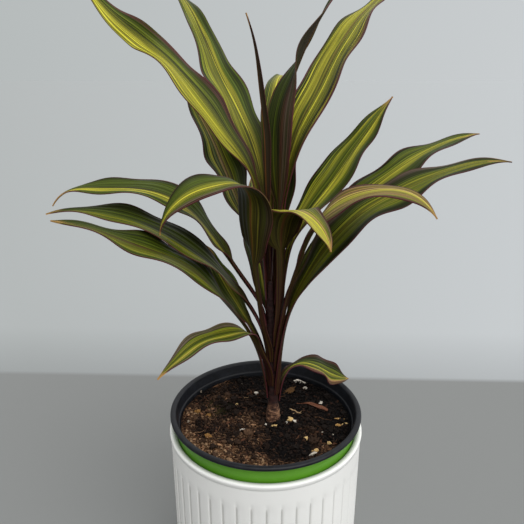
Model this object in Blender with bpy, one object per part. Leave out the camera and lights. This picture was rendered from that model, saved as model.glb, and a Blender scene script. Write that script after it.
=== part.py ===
"""Ti plant in a black grower pot with a green band, standing inside a white fluted planter.

Every leaf is one solid: a channelled stalk that runs out into a thin, waved blade. The
leaves grow from a short cane, in order from the oldest, which is the lowest, up to the
newest, which is still rolled into a spear. Units are metres, +Z is up, and the origin is
the middle of the planter's flat underside.
"""

import math
from dataclasses import dataclass

import bmesh
import bpy
from mathutils import Vector, noise

MM = 0.001
GAP = 0.3 * MM                      # kept between solids that touch

# Planter
PLANTER_HEIGHT = 140 * MM
PLANTER_LIP_RADIUS = 77 * MM
PLANTER_MOUTH_RADIUS = 70.9 * MM    # under the lip's slope
PLANTER_WALL_RADIUS = 76.2 * MM     # just under the lip
PLANTER_TAPER = math.radians(0.4)   # each side
PLANTER_FLOOR = 4 * MM
PLANTER_EDGE = 1.5 * MM             # rounding of the bottom edge
LIP_HEIGHT = 4.5 * MM
LIP_EDGE = 1.4 * MM
LIP_SLOPE = (3.1 * MM, 6 * MM)      # width and height of the slope inside the lip
PLEATS = 44
PLEAT_DEPTH = 1.2 * MM
PLEAT_GROOVE = 2.2 * MM             # width of the groove beside each rib
PLEAT_TOP = 20 * MM                 # below the lip's top
PLEAT_FOOT = 8 * MM                 # above the table
PLEAT_FADE = 5 * MM
GROOVE_FLANK = 0.35                 # share of the depth that is left on the groove's far side

# Grower pot, with depths measured down from its rim
POT_RADIUS = 76 * MM
POT_HEIGHT = 150 * MM
POT_COLLAR_RADIUS = 71.2 * MM       # at its top, just under the rim
POT_COLLAR_TOP = 3.2 * MM
POT_COLLAR_TAPER = 1.8 * MM         # it is narrower by this much at its foot
POT_BASE_RADIUS = 53 * MM
POT_WALL = 1.5 * MM
POT_COLLAR_FOOT = 32 * MM
POT_STEP = 1.6 * MM                 # the collar stands out from the body by this much
POT_SEGMENTS = 64
POT_RIM = (                         # radius and depth, round the rolled rim, from the outside
    (POT_COLLAR_RADIUS, POT_COLLAR_TOP),
    (75.2 * MM, 3.1 * MM),
    (POT_RADIUS, 2.4 * MM),
    (POT_RADIUS, 1.0 * MM),
    (75.3 * MM, 0.2 * MM),
    (74.0 * MM, 0.0),
    (72.3 * MM, 0.3 * MM),
    (71.5 * MM, 1.2 * MM),
    (69.9 * MM, 8.6 * MM),
    (68.9 * MM, 9.4 * MM),          # small ledge inside, just above the soil
)
RIM_TOP = PLANTER_FLOOR + GAP + POT_HEIGHT
DRAIN_HOLES = 6
DRAIN_RADIUS = 4.5 * MM
DRAIN_CIRCLE = 36 * MM
DRAIN_START = math.radians(27)      # keeps the holes' corners off the floor's mesh lines

# Green band around the collar
BAND_THICKNESS = 0.6 * MM
BAND_TOP = 3.6 * MM                 # below the rim's top
BAND_FOOT = 19 * MM

# Soil
SOIL_TOP = RIM_TOP - 12 * MM
SOIL_RADIUS = 68.2 * MM
SOIL_LUMPS = 1.6 * MM
SOIL_COARSE = 45                    # lumps to the metre
SOIL_FINE = 150
SOIL_SIDES = 48
SOIL_RINGS = (1.0, 0.9, 0.78, 0.65, 0.52, 0.4, 0.28, 0.16, 0.07, 0.0)  # from the rim to the cane

# Cane
CANE_FOOT_DEPTH = 25 * MM           # buried part
CANE_TOP = 118 * MM                 # above the soil
CANE_OFFSET = 6 * MM                # the cane stands a little to the right of the pot's axis
CANE_LEAN = 3 * MM                  # and comes back by this much at its top
CANE_SOIL_RADIUS = 5.9 * MM         # swollen by the scars of old leaves
CANE_RADIUS = 4.3 * MM              # under the lowest leaves
CANE_TIP_RADIUS = 2.0 * MM
CANE_SWELL = 20 * MM                # height of the swollen foot
CANE_SIDES = 16
CANE_RINGS = 22
CANE_SCAR = 0.25 * MM               # depth of the rings
CANE_BUD = 1.5 * MM                 # rounded growing point

# Leaves
SPIRAL_TURN = 144                   # degrees from one leaf round to the next
SPIRAL_START = 30
LOWEST_LEAF = 16 * MM               # above the soil
LEAF_SPACING = 4.2 * MM
LEAF_STEPS = 240                    # fine steps along which a leaf's path is added up
LEAF_STATIONS = 17
LEAF_ACROSS = (-1.0, -0.5, 0.0, 0.5, 1.0)
STALK_HALF = 3.3 * MM
STALK_SHARE = 0.56                  # of its distance from the cane's middle, where that is less
STALK_CURL = math.radians(65)       # turn from the stalk's middle to its edge
STALK_FREE = (6 * MM, 18 * MM)      # distance from the cane over which the stalk takes that curl
STALK_SETTLES = 0.3                 # share of the leaf in which it turns to its heading
STALK_THICKNESS = 1.7 * MM
CLASP_THICKNESS = 1.0 * MM
BLADE_THICKNESS = 0.8 * MM
MIDRIB_THICKNESS = 1.5 * MM
TIP_HALF = 0.5 * MM
BLADE_OPENS = 0.14                  # share of the blade over which the channel opens out flat
SMALL = 0.004                       # step for reading the slope of a leaf's surface
BEND_PULL = 1.2                     # how much a degree of bend draws the stations together


@dataclass
class Leaf:
    """One leaf, described as a grower would point it out: where it starts and how it bends.

    Angles are in degrees and lengths in millimetres. The values of lean and roll are even
    stations along the whole leaf, stalk first.
    """
    name: str
    place: int         # its turn in the spiral up the cane, from the lowest
    heading: float     # direction of the blade in plan, from +X towards +Y
    length: float      # stalk and blade together, along the midrib
    stalk: float       # length of the stalk alone
    width: float       # widest part of the blade, laid flat
    lean: tuple        # angle from upright
    roll: tuple = (0, 0, 0, 0)
    fold: float = 20   # rise of each half of the blade from the midrib
    wave: float = 2.0  # height of the waves on the margins
    waves: float = 2.5
    widest: float = 0.42
    ripple: float = 0.06  # share by which the blade's edges swell in and out


LEAVES = [
    Leaf("leaf_low_right", 0, 30, 98, 24, 22, (5, 19, 78, 116, 126, 123, 116),
         roll=(0, 0, 25, 45, 40), fold=8, wave=2.0, waves=2.5, widest=0.6),
    Leaf("leaf_left_lower", 1, 206, 232, 68, 32, (5, 17, 35, 39, 61, 62, 76),
         roll=(0, -10, -22, -15), fold=8, wave=2.2, waves=3.0, ripple=0.1),
    Leaf("leaf_right_front", 2, 2, 274, 72, 34, (5, 7, 26, 39, 61, 69, 95),
         roll=(0, 15, 22, 15), fold=8, wave=2.4, waves=3.4, ripple=0.13),
    Leaf("leaf_back_low", 3, 100, 190, 60, 34, (5, 10, 20, 30, 42, 56, 72)),
    Leaf("leaf_low_left", 4, 222, 142, 44, 20, (9, 27, 27, 74, 87, 114, 122),
         roll=(0, 0, -12, -10), fold=8, wave=1.5),
    Leaf("leaf_right_middle", 5, 22, 278, 90, 32, (5, 8, 37, 46, 58, 69, 86),
         roll=(0, 10, 15, 15), fold=8, wave=2.4, waves=3.2, ripple=0.12),
    Leaf("leaf_left_short", 6, 152, 126, 44, 19, (5, 21, 35, 36, 34, 42, 56),
         roll=(0, -10, -20, -20), fold=10),
    Leaf("leaf_right_arched", 7, 334, 218, 88, 30, (5, 9, 16, 22, 54, 85, 142),
         roll=(0, 10, 18, 10), fold=8),
    Leaf("leaf_right_shaded", 8, 68, 211, 100, 24, (9, 12, 14, 16, 17, 29, 59)),
    Leaf("leaf_right_back", 10, 38, 235, 88, 31, (5, 6, 17, 48, 45, 47, 50),
         roll=(0, 0, 10, 10), fold=12, wave=2.2, waves=2.6, ripple=0.08),
    Leaf("leaf_left_middle", 11, 192, 206, 42, 28, (9, 30, 40, 50, 63, 80, 100),
         roll=(0, -10, -22, -15), fold=8, wave=2.2, waves=3.0, ripple=0.09),
    Leaf("leaf_front_right", 12, 301, 168, 80, 34, (7, 9, 6, 1, -2, -2, 26, 76, 98, 122, 158),
         roll=(0, 0, -5, -12, -16, -15, -10, -8, -5, 0, 0), fold=5, widest=0.3),
    Leaf("leaf_left_back", 13, 135, 213, 90, 33, (6, 11, 32, 31, 31, 41, 43),
         fold=14, wave=2.4, waves=3.0, ripple=0.09),
    Leaf("leaf_front_left", 9, 200, 216, 86, 35, (9, 22, 9, 8, 3, 5, 4, 84, 104, 134, 170),
         roll=(0, 0, 5, 12, 14, 16, 25, -5, -32, -28, -15), fold=8, widest=0.32),
    Leaf("leaf_tall_right", 15, 50, 327, 100, 33, (3, 4, 4, 17, 43, 40, 51, 60, 43),
         fold=14, wave=2.4, waves=3.4, ripple=0.08),
    Leaf("leaf_left_upper", 16, 188, 208, 58, 29, (10, 32, 32, 33, 42, 70, 89, 92, 147),
         roll=(0, -10, -22, -15), fold=8, wave=2.4, waves=3.0, widest=0.34, ripple=0.11),
    Leaf("leaf_tall_back_left", 18, 118, 346, 96, 30, (5, 9, 15, 41, 52, 47, 47, 60, 43),
         fold=14, wave=2.6, waves=3.4, widest=0.3, ripple=0.1),
    Leaf("leaf_young_right", 20, 35, 244, 76, 25, (4, 4, 2, 0, 2, 22, 29, 38, 46),
         roll=(0, 0, 5, 15, 20, -5, -40, -36, -15), fold=16, widest=0.36),
    Leaf("leaf_tall_left", 21, 155, 295, 90, 27, (3, 4, 9, 38, 40, 48, 57, 49, 34),
         roll=(0, 0, -5, -20, -32, -10, -42, -45, -40), fold=14, wave=2.6, waves=3.4,
         ripple=0.1),
    Leaf("leaf_small_back", 23, 80, 210, 80, 17, (5, 6, 6, 8, 14, 34, 64, 98, 152),
         fold=16),
]
SPEAR = Leaf("leaf_spear", 24, 190, 183, 50, 8, (2, 3, 3, 2, 7, 7, 20), fold=60, wave=0)


def even_value(values, t):
    """Read a value at t, from 0 to 1, on a smooth curve through evenly spaced values."""
    last = len(values) - 1
    place = min(max(t, 0.0), 1.0) * last
    i = min(int(place), last - 1)
    f = place - i
    p0 = values[max(i - 1, 0)]
    p1 = values[i]
    p2 = values[i + 1]
    p3 = values[min(i + 2, last)]
    bend = 2 * p1 + (p2 - p0) * f + (2 * p0 - 5 * p1 + 4 * p2 - p3) * f * f
    return 0.5 * (bend + (3 * p1 - p0 - 3 * p2 + p3) * f ** 3)


def ease(low, high, x):
    """Go smoothly from 0 at low to 1 at high."""
    f = min(max((x - low) / (high - low), 0.0), 1.0)
    return f * f * (3 - 2 * f)


def new_material(name, colour, roughness, metallic=0.0):
    material = bpy.data.materials.new(name)
    material.use_nodes = True
    shader = material.node_tree.nodes["Principled BSDF"]
    shader.inputs["Base Color"].default_value = (*colour, 1)
    shader.inputs["Roughness"].default_value = roughness
    shader.inputs["Metallic"].default_value = metallic
    material.diffuse_color = (*colour, 1)
    return material


def new_object(name, bm, material, smooth_angle=40):
    mesh = bpy.data.meshes.new(name)
    bmesh.ops.recalc_face_normals(bm, faces=bm.faces)
    bm.to_mesh(mesh)
    bm.free()
    mesh.materials.append(material)
    mesh.shade_smooth()
    mesh.set_sharp_from_angle(angle=math.radians(smooth_angle))
    obj = bpy.data.objects.new(name, mesh)
    bpy.context.scene.collection.objects.link(obj)
    return obj


def bridge(bm, ring_a, ring_b):
    """Join two rings of points, where one may have a whole number of times the other's."""
    if len(ring_a) < len(ring_b):
        ring_a, ring_b = ring_b, ring_a
    count_a = len(ring_a)
    count_b = len(ring_b)
    share = count_a // count_b
    for i in range(count_b):
        here = ring_b[i]
        after = ring_b[(i + 1) % count_b]
        for k in range(share):
            a = ring_a[i * share + k]
            b = ring_a[(i * share + k + 1) % count_a]
            turn = share // 2
            if k < turn:
                bm.faces.new((a, b, here))
            elif k == turn:
                bm.faces.new((a, b, after))
                bm.faces.new((a, after, here))
            else:
                bm.faces.new((a, b, after))


def cap(bm, ring, height, centre=0.0):
    """Close a ring with a flat fan."""
    middle = bm.verts.new((centre, 0, height))
    for i, vert in enumerate(ring):
        bm.faces.new((middle, vert, ring[(i + 1) % len(ring)]))


def turned_ring(bm, radius, height, count):
    ring = []
    for i in range(count):
        angle = math.tau * i / count
        ring.append(bm.verts.new((radius * math.cos(angle), radius * math.sin(angle), height)))
    return ring


def turned_solid(profile, count):
    """Turn a profile that starts and ends on the axis, where it is closed by flat fans."""
    bm = bmesh.new()
    rings = [turned_ring(bm, radius, height, count) for radius, height in profile[1:-1]]
    for lower, upper in zip(rings, rings[1:]):
        bridge(bm, lower, upper)
    cap(bm, rings[0], profile[0][1])
    cap(bm, rings[-1], profile[-1][1])
    return bm


def pleated_ring(bm, radius, height, depth):
    """One ring of the fluted wall: each rib rises towards a crisp edge beside its groove."""
    ring = []
    pitch = math.tau / PLEATS
    groove = PLEAT_GROOVE / PLANTER_WALL_RADIUS
    for i in range(PLEATS):
        start = i * pitch
        far = start + groove
        corners = ((start, depth), (far, depth * GROOVE_FLANK), (start + pitch - groove / 2, 0))
        for angle, sink in corners:
            r = radius - sink
            ring.append(bm.verts.new((r * math.cos(angle), r * math.sin(angle), height)))
    return ring


def make_planter():
    """White planter: plain rolled lip, fluted wall, flat underside and an open mouth."""
    def wall(height):
        return PLANTER_WALL_RADIUS - (PLANTER_HEIGHT - height) * math.tan(PLANTER_TAPER)

    bm = bmesh.new()
    flute_top = PLANTER_HEIGHT - PLEAT_TOP
    rings = [turned_ring(bm, wall(0) - PLANTER_EDGE, 0, PLEATS)]
    rings.append(turned_ring(bm, wall(0), PLANTER_EDGE, 3 * PLEATS))
    for height, depth in (
        (PLEAT_FOOT - PLEAT_FADE, 0.0),
        (PLEAT_FOOT, PLEAT_DEPTH),
        (flute_top - PLEAT_FADE, PLEAT_DEPTH),
        (flute_top, PLEAT_DEPTH * 0.4),
        (flute_top + PLEAT_FADE, 0.0),
    ):
        rings.append(pleated_ring(bm, wall(height), height, depth))
    lip_foot = PLANTER_HEIGHT - LIP_HEIGHT
    for radius, height in (
        (wall(lip_foot), lip_foot),
        (PLANTER_LIP_RADIUS, lip_foot + LIP_EDGE),
        (PLANTER_LIP_RADIUS, PLANTER_HEIGHT - LIP_EDGE),
        (PLANTER_LIP_RADIUS - LIP_EDGE, PLANTER_HEIGHT),
        (PLANTER_MOUTH_RADIUS + LIP_SLOPE[0], PLANTER_HEIGHT),
        (PLANTER_MOUTH_RADIUS, PLANTER_HEIGHT - LIP_SLOPE[1]),
        (PLANTER_MOUTH_RADIUS - 1 * MM, PLANTER_FLOOR + 3 * MM),
        (PLANTER_MOUTH_RADIUS - 4 * MM, PLANTER_FLOOR),
    ):
        rings.append(turned_ring(bm, radius, height, PLEATS))
    for lower, upper in zip(rings, rings[1:]):
        bridge(bm, lower, upper)
    cap(bm, rings[0], 0)
    cap(bm, rings[-1], PLANTER_FLOOR)
    return new_object("planter", bm, new_material("white_planter", (0.82, 0.82, 0.8), 0.45), 25)


def collar_radius(depth):
    """Outer radius of the grower pot's collar, at a depth below its rim."""
    share = (depth - POT_COLLAR_TOP) / (POT_COLLAR_FOOT - POT_WALL - POT_COLLAR_TOP)
    return POT_COLLAR_RADIUS - POT_COLLAR_TAPER * share


def pot_outside(depth):
    """Outer radius of the grower pot's body, under its collar."""
    top = collar_radius(POT_COLLAR_FOOT - POT_WALL) - POT_STEP
    taper = (top - POT_BASE_RADIUS) / (POT_HEIGHT - POT_COLLAR_FOOT)
    return POT_BASE_RADIUS + (POT_HEIGHT - depth) * taper


def pot_inside(depth):
    return pot_outside(depth) - POT_WALL


def make_grower_pot():
    """Thin black pot: rolled rim, slightly tapered collar, tapered body and drain holes."""
    base = RIM_TOP - POT_HEIGHT
    profile = [
        (0, base),
        (POT_BASE_RADIUS - 2 * MM, base),
        (POT_BASE_RADIUS, base + POT_WALL),
        (pot_outside(POT_COLLAR_FOOT), RIM_TOP - POT_COLLAR_FOOT),
        (collar_radius(POT_COLLAR_FOOT - POT_WALL), RIM_TOP - POT_COLLAR_FOOT + POT_WALL),
    ]
    profile += [(radius, RIM_TOP - depth) for radius, depth in POT_RIM]
    profile += [
        (pot_inside(POT_COLLAR_FOOT), RIM_TOP - POT_COLLAR_FOOT),
        (pot_inside(POT_HEIGHT - 2 * POT_WALL), base + 2 * POT_WALL),
        (pot_inside(POT_HEIGHT) - POT_WALL, base + POT_WALL),
        (0, base + POT_WALL),
    ]
    pot = new_object("grower_pot", turned_solid(profile, POT_SEGMENTS),
                     new_material("black_pot", (0.018, 0.019, 0.022), 0.42))
    for i in range(DRAIN_HOLES):
        angle = DRAIN_START + math.tau * i / DRAIN_HOLES
        drill(pot, (DRAIN_CIRCLE * math.cos(angle), DRAIN_CIRCLE * math.sin(angle), base))
    return pot


def drill(obj, place):
    """Cut one round drain hole through the floor."""
    bm = bmesh.new()
    bmesh.ops.create_cone(bm, cap_ends=True, segments=10, radius1=DRAIN_RADIUS,
                          radius2=DRAIN_RADIUS, depth=8 * POT_WALL)
    bmesh.ops.translate(bm, verts=bm.verts, vec=place)
    mesh = bpy.data.meshes.new("drain_cutter")
    bm.to_mesh(mesh)
    bm.free()
    cutter = bpy.data.objects.new("drain_cutter", mesh)
    cutter.display_type = "WIRE"
    cutter.hide_render = True
    bpy.context.scene.collection.objects.link(cutter)
    cut = obj.modifiers.new("drain", "BOOLEAN")
    cut.operation = "DIFFERENCE"
    cut.solver = "EXACT"
    cut.object = cutter


def make_green_band():
    """Bright green ring around the collar, under the rim."""
    top = RIM_TOP - BAND_TOP
    foot = RIM_TOP - BAND_FOOT
    inside_top = collar_radius(BAND_TOP) + GAP
    inside_foot = collar_radius(BAND_FOOT) + GAP
    bm = bmesh.new()
    corners = ((inside_foot, foot), (inside_foot + BAND_THICKNESS, foot),
               (inside_top + BAND_THICKNESS, top), (inside_top, top))
    rings = [turned_ring(bm, radius, height, POT_SEGMENTS) for radius, height in corners]
    for ring, following in zip(rings, rings[1:] + rings[:1]):
        bridge(bm, ring, following)
    return new_object("green_band", bm, new_material("green_band", (0.1, 0.32, 0.02), 0.4))


def cane_centre(up):
    """Middle of the cane at a height above the soil."""
    f = ease(0, CANE_TOP, up)
    return Vector((CANE_OFFSET - CANE_LEAN * f, 0, SOIL_TOP + up))


def cane_radius(up):
    """The cane thins upwards, and is swollen at its foot."""
    f = min(max(up / CANE_TOP, 0.0), 1.0)
    swell = (CANE_SOIL_RADIUS - CANE_RADIUS) * (1 - ease(0, CANE_SWELL, up))
    return CANE_RADIUS + (CANE_TIP_RADIUS - CANE_RADIUS) * f + swell


def soil_height(x, y):
    """Loose, crumbly surface of the soil."""
    coarse = noise.noise(Vector((x * SOIL_COARSE, y * SOIL_COARSE, 3.1)))
    fine = noise.noise(Vector((x * SOIL_FINE, y * SOIL_FINE, 7.7)))
    return SOIL_TOP + SOIL_LUMPS * (0.6 * coarse + 0.5 * fine)


def make_soil():
    """Peat that fills the pot, with a plain hole for the cane."""
    foot = RIM_TOP - POT_HEIGHT + POT_WALL + GAP
    shoulder = POT_HEIGHT - POT_WALL - 4 * MM
    under_collar = POT_COLLAR_FOOT + 2 * MM
    hole = cane_radius(0) + GAP
    hole_foot = SOIL_TOP - CANE_FOOT_DEPTH - GAP
    middle = cane_centre(0).x
    bm = bmesh.new()

    def ring(radius, height, centre=0.0):
        verts = []
        for i in range(SOIL_SIDES):
            angle = math.tau * i / SOIL_SIDES
            x = centre + radius * math.cos(angle)
            y = radius * math.sin(angle)
            z = soil_height(x, y) if height is None else height
            verts.append(bm.verts.new((x, y, z)))
        return verts

    rings = [
        ring(pot_inside(POT_HEIGHT) - 2 * POT_WALL, foot),
        ring(pot_inside(shoulder) - GAP, RIM_TOP - shoulder),
        ring(pot_inside(under_collar) - 2 * GAP, RIM_TOP - under_collar),
    ]
    for share in SOIL_RINGS:
        radius = share * SOIL_RADIUS + (1 - share) * hole
        rings.append(ring(radius, None, (1 - share) * middle))
    rings.append(ring(hole, hole_foot, middle))
    for lower, upper in zip(rings, rings[1:]):
        bridge(bm, lower, upper)
    cap(bm, rings[0], foot)
    cap(bm, rings[-1], hole_foot, middle)
    return new_object("soil", bm, new_material("peat", (0.06, 0.035, 0.02), 0.95), 180)


def make_stem():
    """The cane: a ringed, tan foot that thins up to the growing point."""
    levels = [-CANE_FOOT_DEPTH, -2 * MM]
    levels += [CANE_TOP * i / CANE_RINGS for i in range(CANE_RINGS + 1)]
    bm = bmesh.new()
    rings = []
    for n, up in enumerate(levels):
        centre = cane_centre(up)
        scar = CANE_SCAR if n % 2 and up > 0 else 0.0
        radius = cane_radius(max(up, 0)) - scar
        verts = []
        for i in range(CANE_SIDES):
            angle = math.tau * i / CANE_SIDES
            verts.append(bm.verts.new((centre.x + radius * math.cos(angle),
                                       radius * math.sin(angle), centre.z)))
        rings.append(verts)
    for lower, upper in zip(rings, rings[1:]):
        bridge(bm, lower, upper)
    foot = cane_centre(-CANE_FOOT_DEPTH)
    tip = cane_centre(CANE_TOP)
    cap(bm, rings[0], foot.z, foot.x)
    cap(bm, rings[-1], tip.z + CANE_BUD, tip.x)
    return new_object("stem", bm, new_material("tan_cane", (0.2, 0.11, 0.06), 0.7), 60)


def leaf_around(leaf):
    """Direction in which the leaf leaves the cane."""
    return SPIRAL_START + SPIRAL_TURN * leaf.place


def leaf_up(leaf):
    """Height of the stalk's foot above the soil: the spear stands on the cane's tip."""
    if leaf is SPEAR:
        return CANE_TOP + 2 * MM
    return LOWEST_LEAF + LEAF_SPACING * leaf.place


def base_radius(leaf):
    """Distance of the stalk's foot from the middle of the cane."""
    if leaf is SPEAR:
        return 0.0
    return cane_radius(leaf_up(leaf)) + GAP + CLASP_THICKNESS * 0.6


def leaf_path(leaf):
    """Add up the leaf's midrib in small steps: place, forward, sideways and upper side."""
    around = leaf_around(leaf)
    turn = (leaf.heading - around + 180) % 360 - 180
    out = Vector((math.cos(math.radians(around)), math.sin(math.radians(around)), 0))
    place = cane_centre(leaf_up(leaf)) + out * base_radius(leaf)
    step = leaf.length * MM / LEAF_STEPS
    path = []
    for n in range(LEAF_STEPS + 1):
        t = n / LEAF_STEPS
        heading = math.radians(around + turn * ease(0, STALK_SETTLES, t))
        lean = math.radians(even_value(leaf.lean, t))
        roll = math.radians(even_value(leaf.roll, t))
        flat = Vector((math.cos(heading), math.sin(heading), 0))
        forward = flat * math.sin(lean) + Vector((0, 0, 1)) * math.cos(lean)
        side = Vector((-math.sin(heading), math.cos(heading), 0))
        upper = forward.cross(side)
        turned_side = side * math.cos(roll) + upper * math.sin(roll)
        turned_upper = upper * math.cos(roll) - side * math.sin(roll)
        path.append((place.copy(), forward, turned_side, turned_upper))
        place = place + forward * step
    return path


def path_at(path, t):
    place = min(max(t, 0.0), 1.0) * LEAF_STEPS
    i = min(int(place), LEAF_STEPS - 1)
    f = place - i
    return [a.lerp(b, f) for a, b in zip(path[i], path[i + 1])]


def half_width(leaf, path, t):
    """Half of the leaf's width: a stalk that keeps to its side of the cane, then the blade."""
    place = path_at(path, t)[0]
    centre = cane_centre(place.z - SOIL_TOP)
    stalk = min(STALK_HALF, STALK_SHARE * math.hypot(place.x - centre.x, place.y - centre.y))
    v = (t * leaf.length - leaf.stalk) / (leaf.length - leaf.stalk)
    if v <= 0:
        return stalk
    swell = math.log(0.5) / math.log(leaf.widest)
    blade = leaf.width * MM / 2 * math.sin(math.pi * min(v, 1.0) ** swell) ** 0.95
    return max(math.hypot(stalk * (1 - v) ** 2, blade), TIP_HALF)


def leaf_point(leaf, path, t, u):
    """Point of the leaf's middle surface: t runs along it, u from -1 to 1 across it."""
    place, _, side, upper = path_at(path, t)
    centre = cane_centre(place.z - SOIL_TOP)
    room = math.hypot(place.x - centre.x, place.y - centre.y)
    v = max((t * leaf.length - leaf.stalk) / (leaf.length - leaf.stalk), 0.0)
    blade = ease(0, BLADE_OPENS, v)
    rise = math.radians(leaf.fold * (1.3 - 0.6 * v)) * blade
    half = half_width(leaf, path, t)
    clasp = half / max(room, 2 * MM)
    curl = (clasp + (STALK_CURL - clasp) * ease(*STALK_FREE, room)) * (1 - blade)
    phase = leaf.place * 2.4 + (1.9 if u > 0 else 0.0)
    swing = math.sin(math.tau * leaf.waves * v + phase) * math.sin(math.pi * v) ** 0.6
    swell = math.sin(math.tau * leaf.waves * 1.3 * v + 2 * phase) * math.sin(math.pi * v)
    half *= 1 + leaf.ripple * swell
    reach = abs(u)
    parts = 6
    across = 0.0
    lift = 0.0
    for k in range(parts):
        angle = rise + curl * reach * (k + 0.5) / parts
        across += math.cos(angle) * half * reach / parts
        lift += math.sin(angle) * half * reach / parts
    lift += leaf.wave * MM * reach ** 1.6 * swing
    return place + side * math.copysign(across, u) + upper * lift


def leaf_thickness(leaf, t, u):
    v = (t * leaf.length - leaf.stalk) / (leaf.length - leaf.stalk)
    grown = ease(0, 0.25, t * leaf.length / max(leaf.stalk, 1.0))
    middle = CLASP_THICKNESS + (STALK_THICKNESS - CLASP_THICKNESS) * grown
    edge = CLASP_THICKNESS * 0.8
    if v > 0:
        rib = MIDRIB_THICKNESS + (BLADE_THICKNESS - MIDRIB_THICKNESS) * v
        blend = ease(0, 0.15, v)
        middle = middle + (rib - middle) * blend
        edge = edge + (BLADE_THICKNESS * 0.85 - edge) * blend
    return middle + (edge - middle) * min(abs(u) * 1.6, 1.0)


def leaf_stations(leaf, count):
    """Stations along the leaf, closer together where it bends."""
    weights = [0.0]
    for n in range(LEAF_STEPS):
        here = even_value(leaf.lean, n / LEAF_STEPS)
        after = even_value(leaf.lean, (n + 1) / LEAF_STEPS)
        weights.append(weights[-1] + 1 + abs(after - here) * BEND_PULL)
    stations = []
    n = 0
    for k in range(count):
        goal = weights[-1] * k / (count - 1)
        while n < LEAF_STEPS - 1 and weights[n + 1] < goal:
            n += 1
        part = (goal - weights[n]) / (weights[n + 1] - weights[n])
        stations.append((n + part) / LEAF_STEPS)
    return stations


def leaf_normal(leaf, path, t, u):
    """Direction straight out of the leaf's upper surface."""
    after = leaf_point(leaf, path, min(t + SMALL, 1), u)
    before = leaf_point(leaf, path, max(t - SMALL, 0), u)
    left = leaf_point(leaf, path, t, max(u - 10 * SMALL, -1))
    right = leaf_point(leaf, path, t, min(u + 10 * SMALL, 1))
    return (after - before).cross(right - left).normalized()


def make_leaf(leaf, material):
    """One leaf: two alike faces, closed along the margins and at both ends."""
    path = leaf_path(leaf)
    bm = bmesh.new()
    uppers = []
    lowers = []
    for t in leaf_stations(leaf, LEAF_STATIONS):
        upper = []
        lower = []
        for u in LEAF_ACROSS:
            point = leaf_point(leaf, path, t, u)
            half = leaf_normal(leaf, path, t, u) * leaf_thickness(leaf, t, u) / 2
            upper.append(bm.verts.new(point + half))
            lower.append(bm.verts.new(point - half))
        uppers.append(upper)
        lowers.append(lower)
    last = len(LEAF_ACROSS) - 1
    for row in range(LEAF_STATIONS - 1):
        for rows in (uppers, lowers):
            for i in range(last):
                a, b = rows[row][i:i + 2]
                d, c = rows[row + 1][i:i + 2]
                if i < last / 2:
                    bm.faces.new((a, b, c))
                    bm.faces.new((a, c, d))
                else:
                    bm.faces.new((a, b, d))
                    bm.faces.new((b, c, d))
        for i in (0, last):
            a, b = uppers[row][i], uppers[row + 1][i]
            c, d = lowers[row + 1][i], lowers[row][i]
            bm.faces.new((a, b, c))
            bm.faces.new((a, c, d))
    for upper, lower in ((uppers[0], lowers[0]), (uppers[-1], lowers[-1])):
        for i in range(last):
            bm.faces.new((upper[i], upper[i + 1], lower[i + 1], lower[i]))
    return new_object(leaf.name, bm, material, 60)


def build():
    for obj in list(bpy.data.objects):
        bpy.data.objects.remove(obj, do_unlink=True)
    make_planter()
    make_grower_pot()
    make_green_band()
    make_soil()
    make_stem()
    for leaf in LEAVES + [SPEAR]:
        green = new_material(leaf.name, (0.12, 0.22, 0.03), 0.5)
        make_leaf(leaf, green)


build()
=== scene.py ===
import math
import random
from dataclasses import dataclass

import bmesh
import bpy
from mathutils import Matrix, Vector, noise


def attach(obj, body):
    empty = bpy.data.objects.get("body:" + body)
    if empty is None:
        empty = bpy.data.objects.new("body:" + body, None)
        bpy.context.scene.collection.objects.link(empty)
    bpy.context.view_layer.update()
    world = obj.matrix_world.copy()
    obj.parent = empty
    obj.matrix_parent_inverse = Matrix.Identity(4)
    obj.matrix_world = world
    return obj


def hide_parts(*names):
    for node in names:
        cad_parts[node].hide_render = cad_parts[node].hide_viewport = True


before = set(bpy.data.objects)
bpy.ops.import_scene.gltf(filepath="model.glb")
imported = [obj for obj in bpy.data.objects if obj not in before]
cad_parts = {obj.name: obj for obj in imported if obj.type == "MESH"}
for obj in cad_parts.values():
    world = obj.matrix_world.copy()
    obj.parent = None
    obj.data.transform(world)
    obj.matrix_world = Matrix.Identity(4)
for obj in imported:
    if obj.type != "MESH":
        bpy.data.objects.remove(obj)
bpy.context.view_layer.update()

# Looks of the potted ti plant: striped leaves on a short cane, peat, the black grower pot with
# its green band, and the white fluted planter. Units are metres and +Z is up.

MM = 0.001
GAP = 0.3 * MM

# Places and sizes, the same as in the part's source
PLANTER_HEIGHT = 140 * MM
PLANTER_LIP_RADIUS = 77 * MM
PLANTER_MOUTH_RADIUS = 70.9 * MM
PLANTER_WALL_RADIUS = 76.2 * MM
PLANTER_TAPER = math.radians(0.4)
PLANTER_FLOOR = 4 * MM
PLANTER_EDGE = 1.5 * MM
LIP_HEIGHT = 4.5 * MM
LIP_EDGE = 1.4 * MM
LIP_SLOPE = (3.1 * MM, 6 * MM)
PLEATS = 44
PLEAT_DEPTH = 1.2 * MM
PLEAT_GROOVE = 2.2 * MM
PLEAT_TOP = 20 * MM
PLEAT_FOOT = 8 * MM
PLEAT_FADE = 5 * MM
GROOVE_FLANK = 0.35         # share of the depth left on the groove's far side
POT_RADIUS = 76 * MM
POT_HEIGHT = 150 * MM
POT_COLLAR_RADIUS = 71.2 * MM
POT_COLLAR_TOP = 3.2 * MM
POT_COLLAR_TAPER = 1.8 * MM
POT_BASE_RADIUS = 53 * MM
POT_WALL = 1.5 * MM
POT_COLLAR_FOOT = 32 * MM
POT_STEP = 1.6 * MM
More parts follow.
